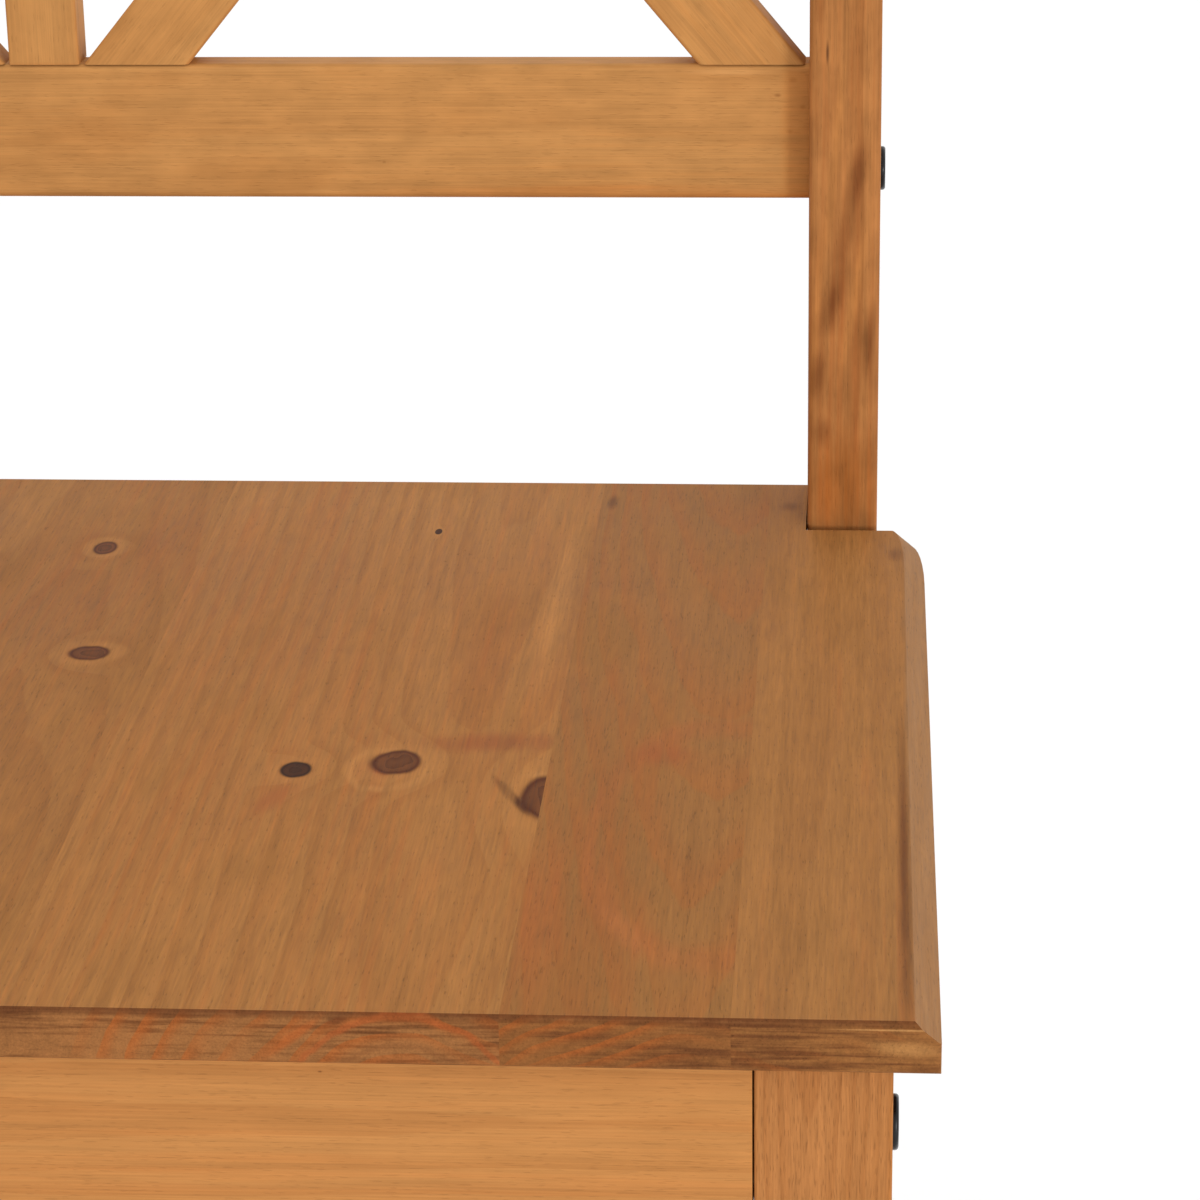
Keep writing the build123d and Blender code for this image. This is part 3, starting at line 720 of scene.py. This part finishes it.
BRACE_SLOPE = 1.2  # rise over run, as in the frame
RISING = Vector((1, 0, BRACE_SLOPE)).normalized()
FALLING = Vector((-1, 0, BRACE_SLOPE)).normalized()
for number in range(1, 4):
    timber(f"brace_rising_{number}", (AWAY.cross(RISING), AWAY, RISING), HONEY)
    timber(f"brace_falling_{number}", (AWAY.cross(FALLING), AWAY, FALLING), HONEY)

# ---- Hardware -----------------------------------------------------------------------

black = simple("black_steel", srgb(22, 22, 24), srgb(34, 33, 33), 900.0, 0.32, 0.00002, 0.6)
zinc = simple("zinc_steel", srgb(136, 138, 140), srgb(108, 110, 114), 700.0, 0.42, 0.00002, 1.0)
plastic = simple("glide_plastic", srgb(52, 42, 36), srgb(66, 54, 46), 1400.0, 0.5, 0.00004)
for node in ("front_connector_bolts", "rear_connector_bolts"):
    dress(node, black)
for node in ("barrel_nuts", "worktop_brackets", "bracket_screws", "slat_screws"):
    dress(node, zinc)
dress("foot_glides", plastic)

BEECH = dict(FRAME, early=srgb(214, 182, 140), late=srgb(196, 158, 114), red=srgb(200, 160, 118))
for node in ("joint_dowels", "brace_dowels"):
    timber(node, LENGTHWISE, BEECH, 2.0)

# ---- Studio -------------------------------------------------------------------------

scene = bpy.context.scene
scene.view_settings.view_transform = "Standard"


def paper():
    """Pale matt paper with a fine tooth."""
    graph = Graph("studio_paper")
    position = Field(graph, graph.place.outputs["Object"])
    tooth = graph.noise(graph.scaled(position, (PAPER_GRAIN,) * 3, (0.0,) * 3)).outputs["Fac"]
    return graph.shine(rgba(FLOOR_COLOUR), PAPER_ROUGHNESS, Field(graph, tooth), PAPER_RELIEF)


def lay_floor():
    reach = FLOOR_SIZE / 2
    corners = [(-reach, -reach, 0), (reach, -reach, 0), (reach, reach, 0), (-reach, reach, 0)]
    mesh = bpy.data.meshes.new("studio_floor")
    mesh.from_pydata(corners, [], [(0, 1, 2, 3)])
    mesh.materials.append(paper())
    floor = bpy.data.objects.new("studio_floor", mesh)
    scene.collection.objects.link(floor)


def light_room():
    """Even white light from all round."""
    world = bpy.data.worlds.new("studio_room")
    world.use_nodes = True
    room = world.node_tree.nodes["Background"]
    room.inputs["Color"].default_value = rgba(ROOM_COLOUR)
    room.inputs["Strength"].default_value = ROOM_STRENGTH
    scene.world = world


def add_key():
    """A small area light from the right of the camera."""
    light = bpy.data.lights.new("key", "AREA")
    light.size = KEY_SIZE
    light.energy = KEY_POWER
    key = bpy.data.objects.new("key", light)
    key.location = KEY_PLACE
    key.rotation_euler = (Vector(KEY_PLACE) - Vector(KEY_TARGET)).to_track_quat("Z", "Y").to_euler()
    scene.collection.objects.link(key)


def add_camera():
    data = bpy.data.cameras.new("camera")
    data.lens = CAMERA_LENS
    data.sensor_width = SENSOR_WIDTH
    data.clip_start = NEAREST_SEEN
    camera = bpy.data.objects.new("camera", data)
    aim = Euler((math.radians(90 - CAMERA_DOWN), 0, math.radians(CAMERA_LEFT))).to_matrix()
    roll = Matrix.Rotation(math.radians(CAMERA_ROLL), 3, "Z")
    camera.matrix_world = Matrix.Translation(CAMERA_PLACE) @ (aim @ roll).to_4x4()
    scene.collection.objects.link(camera)
    scene.camera = camera


lay_floor()
light_room()
add_key()
add_camera()
